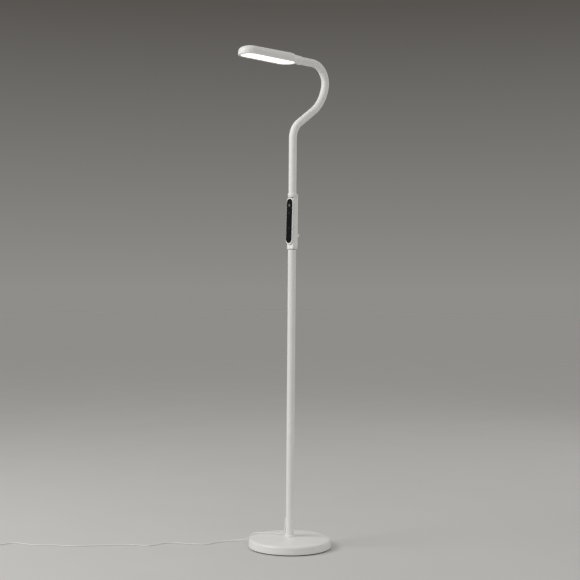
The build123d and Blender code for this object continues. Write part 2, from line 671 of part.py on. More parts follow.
def head_cover():
    _, axis_z, *_ = neck_joints()[-1]
    body = head_form(0) + head_tail(0)
    body -= block((-60, 60), (-300, 100), (FRAME_TOP_Z - 40, FRAME_TOP_Z)) & block(
        (-60, 60), (-300, 1.0), (FRAME_TOP_Z - 40, FRAME_TOP_Z))
    body -= head_form(HEAD_WALL)
    neck_axis = Plane(origin=(0, TAIL_END_Y + 5, axis_z), z_dir=(0, -1, 0))
    body -= neck_axis * disc(NECK_R + 0.1, 0, 5 + 9.2)
    body -= neck_axis * disc(4.5, 0, 60)
    for x in (-17, 17):
        for y in (HEAD_MID_Y - 70, HEAD_MID_Y + 70):
            post = Pos(x, y) * disc(3.2, 1534.2, FRAME_TOP_Z + HEAD_DOME_H - 1)
            body += (post & head_form(0.5)) - Pos(x, y) * disc(1.15, 1500, 1542)
    return body


def head_frame():
    """Bezel round the lit panel, with a step that the diffuser lies on."""
    outer = extrude(oblong(HEAD_SIZE, HEAD_BOTTOM_Z), FRAME_TOP_Z - HEAD_BOTTOM_Z)
    outer = fillet(outer.edges().group_by(Axis.Z)[0], 2.4)
    outer -= extrude(oblong(PANEL_SIZE, 1500), 60)
    outer -= extrude(oblong(PANEL_SIZE, 1521.9, inset=-2.4), 60)
    return outer


def diffuser():
    plate = extrude(oblong(PANEL_SIZE, 1522.0, inset=-2.2), 2.0)
    return plate + extrude(oblong(PANEL_SIZE, 1521.0, inset=0.2), 1.0)


def heat_plate():
    """Aluminium carrier behind the LED board."""
    plate = extrude(oblong((50, 200), 1532.4), 1.6)
    for x in (-17, 17):
        for y in (HEAD_MID_Y - 70, HEAD_MID_Y + 70):
            plate -= Pos(x, y) * disc(1.6, 1500, 1560)
    return plate


def led_board():
    """White board with a grid of LED chips that face the diffuser."""
    board = extrude(oblong((48, 198), 1531.2), 1.2)
    for row in (-16.0, -8.0, 8.0, 16.0):
        for k in range(12):
            y = HEAD_MID_Y - 82.5 + 15.0 * k
            if abs(abs(row) - 16) < 1 and abs(abs(y - HEAD_MID_Y) - 70) < 6:
                continue
            board += block((row - 1.4, row + 1.4), (y - 1.75, y + 1.75), (1530.5, 1531.2))
    for x in (-17, 17):
        for y in (HEAD_MID_Y - 70, HEAD_MID_Y + 70):
            board -= Pos(x, y) * disc(1.6, 1500, 1560)
    return board


def head_screws():
    screws = []
    for x in (-17, 17):
        for y in (HEAD_MID_Y - 70, HEAD_MID_Y + 70):
            screws.append(Pos(x, y) * (disc(2.7, 1529.6, 1531.2) + disc(1.1, 1531.2, 1541)))
    return Compound(children=screws)


# ---------------------------------------------------------------- write the parts
PIECES = [base_cover, base_weight, base_plate, base_screws, foot_ring, foot_collar, base_bolt,
          pole_foot_insert, pole_lower, pole_upper, pole_connector, pole_spigot, cord_relief,
          inner_lead, cord_tube, cord_coil, adapter_relief, adapter_body, adapter_pins,
          box_rear, box_front, touch_glass, control_board, box_screws, neck_collar,
          release_lever, lever_pin, lever_spring, head_cover, head_frame, diffuser,
          led_board, heat_plate, head_screws]


def main():
    os.makedirs("parts", exist_ok=True)
    for piece in PIECES:
        export_step(piece(), f"parts/{piece.__name__}.step")
    for index in range(len(neck_joints()) + 1):
        core, sleeve = neck_link(index)
        export_step(core, f"parts/neck_core_{index:02d}.step")
        export_step(sleeve, f"parts/neck_sleeve_{index:02d}.step")


main()
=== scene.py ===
"""Looks of the gooseneck floor lamp: finishes, gooseneck skin, light head, cord, studio and camera.

Everything is in metres in the part's own frame: +Z up, the lamp's front faces -Y, and the
origin is on the floor at the centre of the base. Sizes given in millimetres go through MM.
"""
import json
import math
import bmesh
import bpy
from mathutils import Matrix, Vector


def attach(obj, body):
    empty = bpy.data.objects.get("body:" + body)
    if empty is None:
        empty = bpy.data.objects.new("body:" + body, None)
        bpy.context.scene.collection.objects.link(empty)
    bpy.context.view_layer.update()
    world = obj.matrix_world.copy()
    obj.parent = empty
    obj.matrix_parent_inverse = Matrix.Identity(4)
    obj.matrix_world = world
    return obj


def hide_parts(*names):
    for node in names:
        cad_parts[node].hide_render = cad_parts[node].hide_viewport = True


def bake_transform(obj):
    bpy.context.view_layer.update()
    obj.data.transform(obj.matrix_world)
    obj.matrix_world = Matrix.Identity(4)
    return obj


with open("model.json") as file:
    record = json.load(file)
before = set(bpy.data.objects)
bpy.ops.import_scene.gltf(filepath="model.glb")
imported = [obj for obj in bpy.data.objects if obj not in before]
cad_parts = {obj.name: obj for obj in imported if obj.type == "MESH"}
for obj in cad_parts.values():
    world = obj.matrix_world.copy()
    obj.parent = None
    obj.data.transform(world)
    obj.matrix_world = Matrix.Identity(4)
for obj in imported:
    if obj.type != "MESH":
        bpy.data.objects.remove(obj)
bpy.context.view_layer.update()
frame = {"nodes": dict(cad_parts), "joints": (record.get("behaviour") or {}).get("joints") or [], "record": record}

MM = 0.001

# ---------------------------------------------------------------- sizes shared with the part's source
BASE_R, BASE_EDGE_Z = 130.0, 3.0
BASE_SHOULDER = (128.6, 28.0)
BASE_EDGE_ROUND = 8.0
BASE_TOP_Z, BASE_PAD_R = 34.0, 22.0
BASE_DOME_MID = (76.0, 32.1)
POLE_R, POLE_WALL = 12.6, 1.2
POLE_JOIN_Z, POLE_TOP_Z = 484.0, 936.0
BOX_TOP_Z = 1099.8
NECK_R = 12.25
NECK_FOOT_Z = 1106.0
NECK_STRAIGHT_TOP_Z = 1285.5
BEND_BACK, SLOPE_RUN = (64.0, 55.0), 77.0
BEND_RISE, BEND_TOP = (134.0, 43.0), (59.0, 102.0)
HEAD_MID_Y, HEAD_SPINE = -111.0, 75.5      # the head is an oblong drawn round a straight spine
HEAD_R, PANEL_R = 36.5, 28.1
HEAD_BOTTOM_Z, FRAME_TOP_Z, HEAD_DOME_H = 1519.6, 1527.0, 24.4
HEAD_LEAN = 0.9           # degrees: the crown drops a little towards the front
TAIL_END_Y, TAIL_R, TAIL_AXIS_Z = 31.0, 13.6, 1535.26
PANEL_TILT, PANEL_MID = 1.43, (-14.5, 1026.0)
CORD_D = 3.5
LAY_ANGLE = 45.0
RELIEF_TOP_Z = 87.0
COIL_MID = (-962.0, -42.5)
COIL_OUTER_R, COIL_PITCH, COIL_TURNS, COIL_RISE = 26.5, 4.0, 6, 4.2

# ---------------------------------------------------------------- sizes of the visible pieces alone
BASE_WALL, BASE_EDGE_WALL, BASE_HOLE_R = 1.6, 0.9, 7.0
SCREW_COUNT, SCREW_CIRCLE_R = 4, 100.0
SCREW_HEAD_R, SCREW_SHANK_R, SCREW_END_Z = 3.6, 1.65, 12.0
RECESS = (2.0, 0.4, 1.8)          # half length, half width and top of a screw's cross recess
FOOT_COLLAR_R, FOOT_COLLAR_H = 16.4, 6.6
SLEEVE_R, SLEEVE_RIBS = (3.3, 2.5), 5
RIB_DEPTH, RIB_HALF = 0.62, 0.6
PLUG_R, PLUG_START_X = 3.1, -10.0
GROOVE_R = 12.7                   # dark groove on the top of the control box
RING_MID, RING_BULGE = (12.9, 1107.8), (1.5, 5.5)
NECK_LAST_RUN, NECK_OVERLAP = 60.0, 6.0   # the neck runs on until it is this far inside the head's tail
SKIN_WALL = 2.2
WIRE_RADII, WIRE_BORE = (6.9, 6.4), 3.0
DOME_POWER = 2.5                  # 2 draws the head's cross section as an ellipse, more is squarer
NOSE_ANGLES = (1, 3, 6, 10, 15, 21, 28, 36, 45, 55, 65, 75, 85)
HEAD_STEPS, ARCH_STEPS, UNDER_STEPS = 170, 72, 64
TAIL_START_Y, TAIL_FULL_Y = -34.0, -4.0   # where a cross section's centre moves over to the tail's
FLOW, FLOW_RUN = 1.8, 20.0        # how softly the body flows into the tail, and over what length
PANEL_SEAT_Z = 1521.85
GLASS_GAP, KEY_DEPTH = 0.02, 0.06
POWER_UP, POWER_R, POWER_LINE, POWER_GAP = 49.5, 3.4, 0.55, 70
POWER_BAR = (50.6, 53.8)
DIM_KEYS = (("key_bright", 24.0, 1.8), ("key_dim", -23.0, 1.3))
DIM_LINE, RAY_COUNT, RAY_HALF, RAY_SPAN = 0.35, 8, 0.17, (0.5, 1.35)

# ---------------------------------------------------------------- light and camera, in metres
AMBIENT, AMBIENT_TONE = 0.80, (0.50, 0.49, 0.475)
FLOOR_TONE, WALL_TOP_TONE = (0.275, 0.269, 0.254), (0.095, 0.088, 0.080)
WALL_TOP = 0.24                   # upward part of the direction in which the wall is darkest
FLOOR_HALF = 30.0
LAMPS = (("key", (-1.5, -3.0, 2.9), 2.0, 80.0),
         ("fill", (3.4, -1.0, 2.0), 2.5, 9.0),
         ("back", (0.5, 3.0, 2.8), 3.0, 15.0))
LAMPS_AIM = (0.0, 0.0, 0.8)
CAMERA_AZIMUTH, CAMERA_ROLL = 45.0, 0.45
CAMERA_DISTANCE, CAMERA_HEIGHT, CAMERA_ASIDE = 3.642, 0.809, -0.00535
SENSOR_MM, FOCAL_PX, PICTURE_PX = 36.0, 1157.0, 580.0


# ---------------------------------------------------------------- finishes
def principled(name):
    """A new material with its shader and a place for its pattern."""
    material = bpy.data.materials.new(name)
    material.use_nodes = True
    nodes = material.node_tree.nodes
    shader = nodes["Principled BSDF"]
    place = nodes.new("ShaderNodeTexCoord")
    return material, material.node_tree, shader, place.outputs["Object"]


def noise(tree, place, scale, detail=4.0, stretch=(1, 1, 1)):
    """A cloudy pattern, finer as scale grows."""
    mapping = tree.nodes.new("ShaderNodeMapping")
    mapping.inputs["Scale"].default_value = stretch
    texture = tree.nodes.new("ShaderNodeTexNoise")
    texture.inputs["Scale"].default_value = scale
    texture.inputs["Detail"].default_value = detail
    tree.links.new(place, mapping.inputs["Vector"])
    tree.links.new(mapping.outputs["Vector"], texture.inputs["Vector"])
    return texture.outputs["Fac"]


def between(tree, factor, low, high, start=0.3, end=0.7):
    """A number that runs from low to high as factor runs from start to end."""
    node = tree.nodes.new("ShaderNodeMapRange")
    node.inputs["From Min"].default_value = start
    node.inputs["From Max"].default_value = end
    node.inputs["To Min"].default_value = low
    node.inputs["To Max"].default_value = high
    tree.links.new(factor, node.inputs["Value"])
    return node.outputs["Result"]


def mixed(tree, factor, first, second):
    """A colour that runs from the first to the second as factor runs from 0 to 1."""
    node = tree.nodes.new("ShaderNodeMix")
    node.data_type = "RGBA"
    node.inputs[6].default_value = (*first, 1)
    node.inputs[7].default_value = (*second, 1)
    tree.links.new(factor, node.inputs["Factor"])
    return node.outputs[2]


def bumped(tree, height, distance):
    """A surface direction with a relief that is distance deep."""
    node = tree.nodes.new("ShaderNodeBump")
    node.inputs["Distance"].default_value = distance
    node.inputs["Strength"].default_value = 1.0
    tree.links.new(height, node.inputs["Height"])
    return node.outputs["Normal"]


def finish(name, colour, shade, rough, grain, depth, patch=18.0, stretch=(1, 1, 1), **sockets):
    """A surface whose colour drifts to shade in patches, with roughness and a fine relief of its own."""
    material, tree, shader, place = principled(name)
    drift = noise(tree, place, patch, 3.0)
    fine = noise(tree, place, grain, 3.0, stretch)
    tree.links.new(mixed(tree, between(tree, drift, 0.0, 1.0), colour, shade), shader.inputs["Base Color"])
    tree.links.new(between(tree, drift, *rough), shader.inputs["Roughness"])
    tree.links.new(bumped(tree, fine, depth), shader.inputs["Normal"])
    for socket, value in sockets.items():
        shader.inputs[socket.replace("_", " ")].default_value = value
    return material


FINISHES = {
    "painted_white": finish("white powder coat", (0.90, 0.90, 0.885), (0.865, 0.86, 0.845), (0.30, 0.40),
                            900.0, 0.00012, Coat_Weight=0.25, Coat_Roughness=0.22),
    "white_plastic": finish("satin white plastic", (0.91, 0.91, 0.90), (0.88, 0.88, 0.87), (0.34, 0.44),
                            2200.0, 0.00006),
    "white_silicone": finish("white silicone skin", (0.905, 0.90, 0.885), (0.87, 0.865, 0.85), (0.48, 0.62),
                             1500.0, 0.00007, Sheen_Weight=0.12, Sheen_Roughness=0.5),
    "black_rubber": finish("black rubber", (0.010, 0.010, 0.010), (0.018, 0.018, 0.017), (0.65, 0.8),
                           1200.0, 0.00015),
    # near-black finish for the pole's spigot: painted shadow in the gap between the pole's top and the control box
    "painted_gap_shadow": finish("painted gap shadow", (0.020, 0.020, 0.020), (0.034, 0.033, 0.032), (0.45, 0.6),
                          900.0, 0.0001),
    "cast_weight": finish("dipped casting", (0.07, 0.07, 0.072), (0.12, 0.115, 0.11), (0.5, 0.75),
                          260.0, 0.0008),
    "zinc_sheet": finish("zinc sheet", (0.58, 0.585, 0.58), (0.68, 0.68, 0.67), (0.3, 0.5),
                         500.0, 0.00008, patch=60.0, Metallic=1.0),
    "steel": finish("plain steel", (0.60, 0.60, 0.61), (0.52, 0.52, 0.53), (0.25, 0.42),
                    1500.0, 0.00005, patch=120.0, Metallic=1.0),
    "alloy": finish("drawn alloy", (0.74, 0.74, 0.75), (0.66, 0.66, 0.67), (0.28, 0.42),
                    900.0, 0.00005, patch=90.0, stretch=(1, 1, 0.05), Metallic=1.0),
    "green_board": finish("circuit board", (0.03, 0.19, 0.08), (0.05, 0.24, 0.11), (0.3, 0.45),
                          700.0, 0.0001, patch=240.0),
    "white_board": finish("white board", (0.86, 0.86, 0.84), (0.80, 0.80, 0.78), (0.35, 0.5),
                          700.0, 0.00006, patch=200.0),
    "white_cord": finish("white cord skin", (0.88, 0.88, 0.87), (0.83, 0.83, 0.82), (0.38, 0.52),
                         1400.0, 0.00006, patch=40.0),
    "pin_metal": finish("plated pin", (0.80, 0.80, 0.80), (0.70, 0.70, 0.71), (0.12, 0.25),
                        900.0, 0.00003, patch=150.0, Metallic=1.0),
}


def black_glass():
    """Polished black strip: dark through and through, with a faint smear in its gloss."""
    material, tree, shader, place = principled("black touch glass")
    smear = noise(tree, place, 55.0, 5.0, (1, 1, 0.35))
    tree.links.new(mixed(tree, between(tree, smear, 0, 1), (0.0035, 0.0035, 0.004), (0.007, 0.0065, 0.007)),
                   shader.inputs["Base Color"])
    tree.links.new(between(tree, smear, 0.06, 0.18), shader.inputs["Roughness"])
    shader.inputs["Specular IOR Level"].default_value = 0.14
    return material


def lit_diffuser():
    """Milky panel with light behind it; its tone and glow drift a little in patches."""
    material, tree, shader, place = principled("lit diffuser")
    veil = noise(tree, place, 26.0, 2.0)
    tree.links.new(mixed(tree, between(tree, veil, 0, 1), (0.96, 0.96, 0.94), (0.93, 0.93, 0.91)),
                   shader.inputs["Base Color"])
    tree.links.new(mixed(tree, between(tree, veil, 0, 1), (1.0, 0.985, 0.95), (1.0, 0.97, 0.93)),
                   shader.inputs["Emission Color"])
    tree.links.new(bumped(tree, noise(tree, place, 1600.0), 0.00005), shader.inputs["Normal"])
    shader.inputs["Roughness"].default_value = 0.55
    shader.inputs["Emission Strength"].default_value = 1.25
    return material


def key_light(name, tone, strength):
    """Printed key behind the black glass; tone is how pale its print is, strength how much it glows."""
    material, tree, shader, place = principled(name)
    grain = noise(tree, place, 900.0)
    fresh, worn = (tone, tone, tone), (tone * 0.85, tone * 0.87, tone * 0.85)
    tree.links.new(mixed(tree, between(tree, grain, 0, 1), fresh, worn), shader.inputs["Base Color"])
    shader.inputs["Emission Color"].default_value = (0.80, 0.86, 0.80, 1)
    shader.inputs["Emission Strength"].default_value = strength
    shader.inputs["Roughness"].default_value = 0.3
    shader.inputs["Specular IOR Level"].default_value = 0.14
    return material


FINISHES["black_glass"] = black_glass()
FINISHES["lit_diffuser"] = lit_diffuser()
FINISHES["lit key"] = key_light("lit key", 0.5, 0.22)
FINISHES["unlit key"] = key_light("unlit key", 0.10, 0.01)


# ---------------------------------------------------------------- mesh helpers
def slot_of(node):
    """The material slot that the part's record gives a node."""
    return next(s["material_slot"] for s in frame["record"]["subparts"] if s["node"] == node)


def linked(obj):
    """The object, now in the scene."""
    bpy.context.scene.collection.objects.link(obj)
    return obj


def clean_mesh(name, verts, faces, merge=1e-6):
    """A mesh from points in millimetres; points within merge metres become one, faces look outwards."""
    mesh = bpy.data.meshes.new(name)
    mesh.from_pydata([tuple(c * MM for c in v) for v in verts], [], faces)
    work = bmesh.new()
    work.from_mesh(mesh)
    bmesh.ops.remove_doubles(work, verts=work.verts, dist=merge)
    bmesh.ops.recalc_face_normals(work, faces=work.faces)
    work.to_mesh(mesh)
    work.free()
    return mesh


def placed(name, mesh, body, replaced=(), sharp=38.0):
    """A mesh as a smooth piece that rides on a body and stands for the replaced nodes."""
    mesh.shade_smooth()
    mesh.set_sharp_from_angle(angle=math.radians(sharp))
    obj = linked(bpy.data.objects.new(name, mesh))
    if body:
        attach(obj, body)
    if replaced:
        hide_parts(*replaced)
    return obj


def piece(name, verts, faces, body, slot, replaced=(), sharp=32.0, finish_name=None):
    """A piece from points in millimetres, in its slot's finish or the one named."""
    mesh = clean_mesh(name, verts, faces, 2e-6)
    mesh.materials.append(FINISHES[finish_name or slot])
    return placed(name, mesh, body, replaced, sharp)


def skin(rings, closed=True, first_cap=False, last_cap=False):
    """Vertices and faces of a skin over rings of points; closed joins the last ring to the first."""
    count = len(rings[0])
    verts = [p for ring in rings for p in ring]
    faces = []
    for i in range(len(rings) if closed else len(rings) - 1):
        a, b = i * count, ((i + 1) % len(rings)) * count
        for j in range(count):
            k = (j + 1) % count
            faces.append((a + j, a + k, b + k, b + j))
    if first_cap:
        faces.append(tuple(range(count))[::-1])
    if last_cap:
        faces.append(tuple(range(len(verts) - count, len(verts))))
    return verts, faces


def box_mesh(name, xs, ys, zs):
    """A small box between two values on each axis."""
    outline = [(xs[0], ys[0]), (xs[1], ys[0]), (xs[1], ys[1]), (xs[0], ys[1])]
    rings = [[(x, y, z) for x, y in outline] for z in zs]
    return clean_mesh(name, *skin(rings, closed=False, first_cap=True, last_cap=True))


def arc(centre, r, start, end, n=8):
    """Points of an arc in a profile's plane, angles in degrees."""
    angles = [math.radians(start + (end - start) * i / n) for i in range(n + 1)]
    return [(centre[0] + r * math.cos(a), centre[1] + r * math.sin(a)) for a in angles]


def turned(profile, count=128):
    """Skin of a closed (radius, height) profile turned about the Z axis."""
    rings = []
    for i in range(count):
        c, s = math.cos(2 * math.pi * i / count), math.sin(2 * math.pi * i / count)
        rings.append([(r * c, r * s, z) for r, z in profile])
    return skin(rings)


def raced(profile, count=48, stretch=20):
    """Skin of a closed (radius, height) profile carried round the head's spine."""
    stations = []
    for end in (1, -1):
        for i in range(count + 1):
            angle = math.pi * (i / count) + (0 if end > 0 else math.pi)
            stations.append((end * HEAD_SPINE, angle))
        for i in range(1, stretch):
            stations.append((end * HEAD_SPINE * (1 - 2 * i / stretch), math.pi if end > 0 else 0.0))
    rings = []
    for along, angle in stations:
        c, s = math.cos(angle), math.sin(angle)
        rings.append([(r * c, HEAD_MID_Y + along + r * s, z) for r, z in profile])
    return skin(rings)


# ---------------------------------------------------------------- repeats
def new_tree(name, inputs):
    """A geometry tree with named inputs, its input and output nodes."""
    tree = bpy.data.node_groups.new(name, "GeometryNodeTree")
    for label, kind in inputs:
        tree.interface.new_socket(name=label, in_out="INPUT", socket_type=f"NodeSocket{kind}")
    tree.interface.new_socket(name="Geometry", in_out="OUTPUT", socket_type="NodeSocketGeometry")
    return tree, tree.nodes.new("NodeGroupInput").outputs, tree.nodes.new("NodeGroupOutput").inputs


def feed(tree, sockets, values):
    """Gives each socket its plain number, or links it to the socket given for it."""
    for socket, value in zip(sockets, values):
        if isinstance(value, (int, float)):
            socket.default_value = value
        else:
            tree.links.new(value, socket)


def worked(tree, operation, first, second=0):
    """The result of one operation on two numbers."""
    node = tree.nodes.new("ShaderNodeMath")
    node.operation = operation
    feed(tree, node.inputs, (first, second))
    return node.outputs[0]


def vector(tree, x=0.0, y=0.0, z=0.0):
    """A vector from three numbers."""
    node = tree.nodes.new("ShaderNodeCombineXYZ")
    feed(tree, node.inputs, (x, y, z))
    return node.outputs[0]


def end_tree(tree, points, given, result, aspect, value):
    """Puts a copy on every point with its own turn or size, makes them solid and gives them their finish."""
    shape = tree.nodes.new("GeometryNodeObjectInfo")
    copies = tree.nodes.new("GeometryNodeInstanceOnPoints")
    solid = tree.nodes.new("GeometryNodeRealizeInstances")
    painted = tree.nodes.new("GeometryNodeSetMaterial")
    tree.links.new(given["Copy"], shape.inputs["Object"])
    tree.links.new(points, copies.inputs["Points"])
    tree.links.new(shape.outputs["Geometry"], copies.inputs["Instance"])
    tree.links.new(value, copies.inputs[aspect])
    tree.links.new(copies.outputs["Instances"], solid.inputs["Geometry"])
    tree.links.new(solid.outputs["Geometry"], painted.inputs["Geometry"])
    tree.links.new(given["Finish"], painted.inputs["Material"])
    tree.links.new(painted.outputs["Geometry"], result["Geometry"])


def circle_of_copies():
    """Copies of a shape round the Z axis, each turned to face outwards."""
    tree, given, result = new_tree("circle of copies", [
        ("Count", "Int"), ("Circle radius", "Float"), ("First angle", "Float"), ("Copy", "Object"),
        ("Finish", "Material")])
    line = tree.nodes.new("GeometryNodeMeshLine")
    index = tree.nodes.new("GeometryNodeInputIndex").outputs[0]
    step = worked(tree, "DIVIDE", 2 * math.pi, given["Count"])
    angle = worked(tree, "ADD", worked(tree, "MULTIPLY", index, step), given["First angle"])
    x = worked(tree, "MULTIPLY", worked(tree, "COSINE", angle), given["Circle radius"])
    y = worked(tree, "MULTIPLY", worked(tree, "SINE", angle), given["Circle radius"])
    moved = tree.nodes.new("GeometryNodeSetPosition")
    tree.links.new(given["Count"], line.inputs["Count"])
    tree.links.new(line.outputs["Mesh"], moved.inputs["Geometry"])
    tree.links.new(vector(tree, x, y), moved.inputs["Position"])
    end_tree(tree, moved.outputs["Geometry"], given, result, "Rotation", vector(tree, z=angle))
    return tree


def row_of_copies():
    """Copies of a shape in a row up the Z axis, whose width runs from the first size to the last."""
    tree, given, result = new_tree("row of copies", [
        ("Count", "Int"), ("Start", "Float"), ("Step", "Float"), ("First size", "Float"),
        ("Last size", "Float"), ("Copy", "Object"), ("Finish", "Material")])
    line = tree.nodes.new("GeometryNodeMeshLine")
    index = tree.nodes.new("GeometryNodeInputIndex").outputs[0]
    share = worked(tree, "DIVIDE", index, worked(tree, "SUBTRACT", given["Count"], 1))
    change = worked(tree, "SUBTRACT", given["Last size"], given["First size"])
    width = worked(tree, "ADD", worked(tree, "MULTIPLY", share, change), given["First size"])
    tree.links.new(given["Count"], line.inputs["Count"])
    tree.links.new(vector(tree, z=given["Start"]), line.inputs["Start Location"])
    tree.links.new(vector(tree, z=given["Step"]), line.inputs["Offset"])
    end_tree(tree, line.outputs["Mesh"], given, result, "Scale", vector(tree, width, width, 1.0))
    return tree


CIRCLE, ROW = circle_of_copies(), row_of_copies()


def settled(obj):
    """The plain mesh of an object with its modifiers worked out."""
    bpy.context.view_layer.update()
    return bpy.data.meshes.new_from_object(obj.evaluated_get(bpy.context.evaluated_depsgraph_get()))


def grown(tree, shape, finish_name, values):
    """The plain mesh that a tree makes of copies of a shape, from these values of its named inputs."""
    seed = bpy.data.objects.new("seed", shape)
    bed = linked(bpy.data.objects.new("bed", bpy.data.meshes.new("bed")))
    growth = bed.modifiers.new("growth", "NODES")
    growth.node_group = tree
    values = {**values, "Copy": seed, "Finish": FINISHES[finish_name]}
    for socket in tree.interface.items_tree:
        if socket.in_out == "INPUT":
            growth[socket.identifier] = values[socket.name]
    mesh = settled(bed)
    bed.modifiers.remove(growth)
    bpy.data.objects.remove(bed)
    bpy.data.objects.remove(seed)
    return mesh


def plate_screws():
    """Pan-head screws under the base, each with a cross recess."""
    profile = [(0.0, 0.9), (SCREW_HEAD_R - 1.2, 0.9)] + arc((SCREW_HEAD_R - 0.8, 1.7), 0.8, -90, 0, 5)
    profile += [(SCREW_HEAD_R, 3.0), (SCREW_SHANK_R, 3.0), (SCREW_SHANK_R, SCREW_END_Z - 0.4),
                (SCREW_SHANK_R - 0.45, SCREW_END_Z), (0.0, SCREW_END_Z)]
    screw = linked(bpy.data.objects.new("screw", clean_mesh("screw", *turned(profile, 40))))
    long, wide, top = RECESS
    slots = []
    for angle in (0, 90):
        slot = box_mesh("recess", (-long, long), (-wide, wide), (0.0, top))
        slot.transform(Matrix.Rotation(math.radians(angle), 4, "Z"))
        slots.append(linked(bpy.data.objects.new("recess", slot)))
        cut = screw.modifiers.new("recess", "BOOLEAN")
        cut.object = slots[-1]
        cut.operation = "DIFFERENCE"
    shape = settled(screw)
    for obj in slots + [screw]:
        bpy.data.objects.remove(obj)
    mesh = grown(CIRCLE, shape, "steel", {"Count": SCREW_COUNT, "Circle radius": SCREW_CIRCLE_R * MM,
                                          "First angle": math.radians(45)})
    placed("plate_screws", mesh, "base", ["base_screws"], 30)


# ---------------------------------------------------------------- base and pole
def fillet_points(before, corner, after, r, n=8):
    """Rounds one corner of a profile with an arc of radius r."""
    a = Vector(before) - Vector(corner)
    b = Vector(after) - Vector(corner)
    half = a.angle(b) / 2
    centre = Vector(corner) + (a.normalized() + b.normalized()).normalized() * (r / math.sin(half))
    start = Vector(corner) + a.normalized() * (r / math.tan(half))
    end = Vector(corner) + b.normalized() * (r / math.tan(half))
    points = []
    for i in range(n + 1):
        p = start.lerp(end, i / n) - centre
        points.append(tuple(centre + p.normalized() * r))
    return points


def through(p0, p1, p2, n):
    """Points of the circle arc from p0 through p1 to p2."""
    ax, ay, bx, by, cx, cy = *p0, *p1, *p2
    a, b, c = ax * ax + ay * ay, bx * bx + by * by, cx * cx + cy * cy
    d = 2 * (ax * (by - cy) + bx * (cy - ay) + cx * (ay - by))
    x = (a * (by - cy) + b * (cy - ay) + c * (ay - by)) / d
    y = (a * (cx - bx) + b * (ax - cx) + c * (bx - ax)) / d
    start, end = math.atan2(ay - y, ax - x), math.atan2(cy - y, cx - x)
    return arc((x, y), math.hypot(ax - x, ay - y), math.degrees(start), math.degrees(end), n)


def base_shell():
    """Spun cover of the base: side wall, rounded shoulder, shallow dome and the flat round the pole."""
    dome = through(BASE_SHOULDER, BASE_DOME_MID, (BASE_PAD_R, BASE_TOP_Z), 40)
    on_dome = next(i for i, p in enumerate(dome) if p[0] < BASE_SHOULDER[0] - 12)
    shoulder = fillet_points((BASE_R, BASE_EDGE_Z), BASE_SHOULDER, dome[on_dome], BASE_EDGE_ROUND, 14)
    outer = [(BASE_R - 0.7, BASE_EDGE_Z), (BASE_R - 0.2, BASE_EDGE_Z + 0.2), (BASE_R, BASE_EDGE_Z + 0.7)]
    slope, side = BASE_SHOULDER[0] - BASE_R, BASE_SHOULDER[1] - BASE_EDGE_Z
    outer += [(BASE_R + slope * t, BASE_EDGE_Z + side * t) for t in (0.2, 0.4, 0.6)]
    outer += shoulder + dome[on_dome + 1:]
    outer += [(14.0, BASE_TOP_Z), (BASE_HOLE_R, BASE_TOP_Z)]
    inner = []
    for r, z in reversed(outer[3:]):
        wall = BASE_WALL if r < BASE_SHOULDER[0] - 8 else BASE_EDGE_WALL
        inner.append((max(r - BASE_WALL, BASE_HOLE_R), z - wall))
    inner = [p for p in inner if p[1] > BASE_EDGE_Z + 0.5] + [(BASE_R - BASE_WALL, BASE_EDGE_Z)]
    piece("base_shell", *turned(outer + inner, 192), "base", "painted_white", ["base_cover"])


def pole():
    """Two drawn tubes that meet at a hairline seam."""
    inner, edge, steps = POLE_R - POLE_WALL, 0.22, 24
    for name, node, low, high in (("pole_tube_low", "pole_lower", BASE_TOP_Z, POLE_JOIN_Z),
                                  ("pole_tube_high", "pole_upper", POLE_JOIN_Z, POLE_TOP_Z)):
        heights = [low + edge + (high - low - 2 * edge) * i / steps for i in range(steps + 1)]
        profile = [(inner, low), (POLE_R - edge, low)] + [(POLE_R, z) for z in heights]
        profile += [(POLE_R - edge, high), (inner, high)]
        piece(name, *turned(profile, 96), "base", "painted_white", [node])


def foot_collar():
    """Turned ring with soft edges where the pole meets the base."""
    low, high = BASE_TOP_Z, BASE_TOP_Z + FOOT_COLLAR_H
    bore, r = POLE_R + 0.06, FOOT_COLLAR_R
    profile = [(bore, low), (r - 0.2, low), (r, low + 0.3), (r, low + 3.2)]
    profile += arc((r - 0.9, low + 3.2), 0.9, 0, 50, 4) + arc((13.6, high - 0.7), 0.7, 50, 90, 4)
    profile += [(13.0, high), (bore, high)]
    piece("pole_foot_collar", *turned(profile, 96), "base", "white_plastic", ["foot_collar"])


def neck_ring():
    """Bulging ring at the gooseneck's foot, over a dark groove on the top of the control box."""
    bore = NECK_R + 0.14
    profile = [(bore, BOX_TOP_Z), (GROOVE_R, BOX_TOP_Z), (GROOVE_R, 1102.3), (GROOVE_R + 0.5, 1102.4)]
    for degrees in range(-64, 81, 8):
        a = math.radians(degrees)
        profile.append((RING_MID[0] + RING_BULGE[0] * math.cos(a), RING_MID[1] + RING_BULGE[1] * math.sin(a)))
    profile += [(RING_MID[0], 1113.5), (bore + 0.2, 1113.6), (bore, 1113.4)]
    piece("neck_ring", *turned(profile, 96), "control_box", slot_of("neck_collar"), ["neck_collar"])


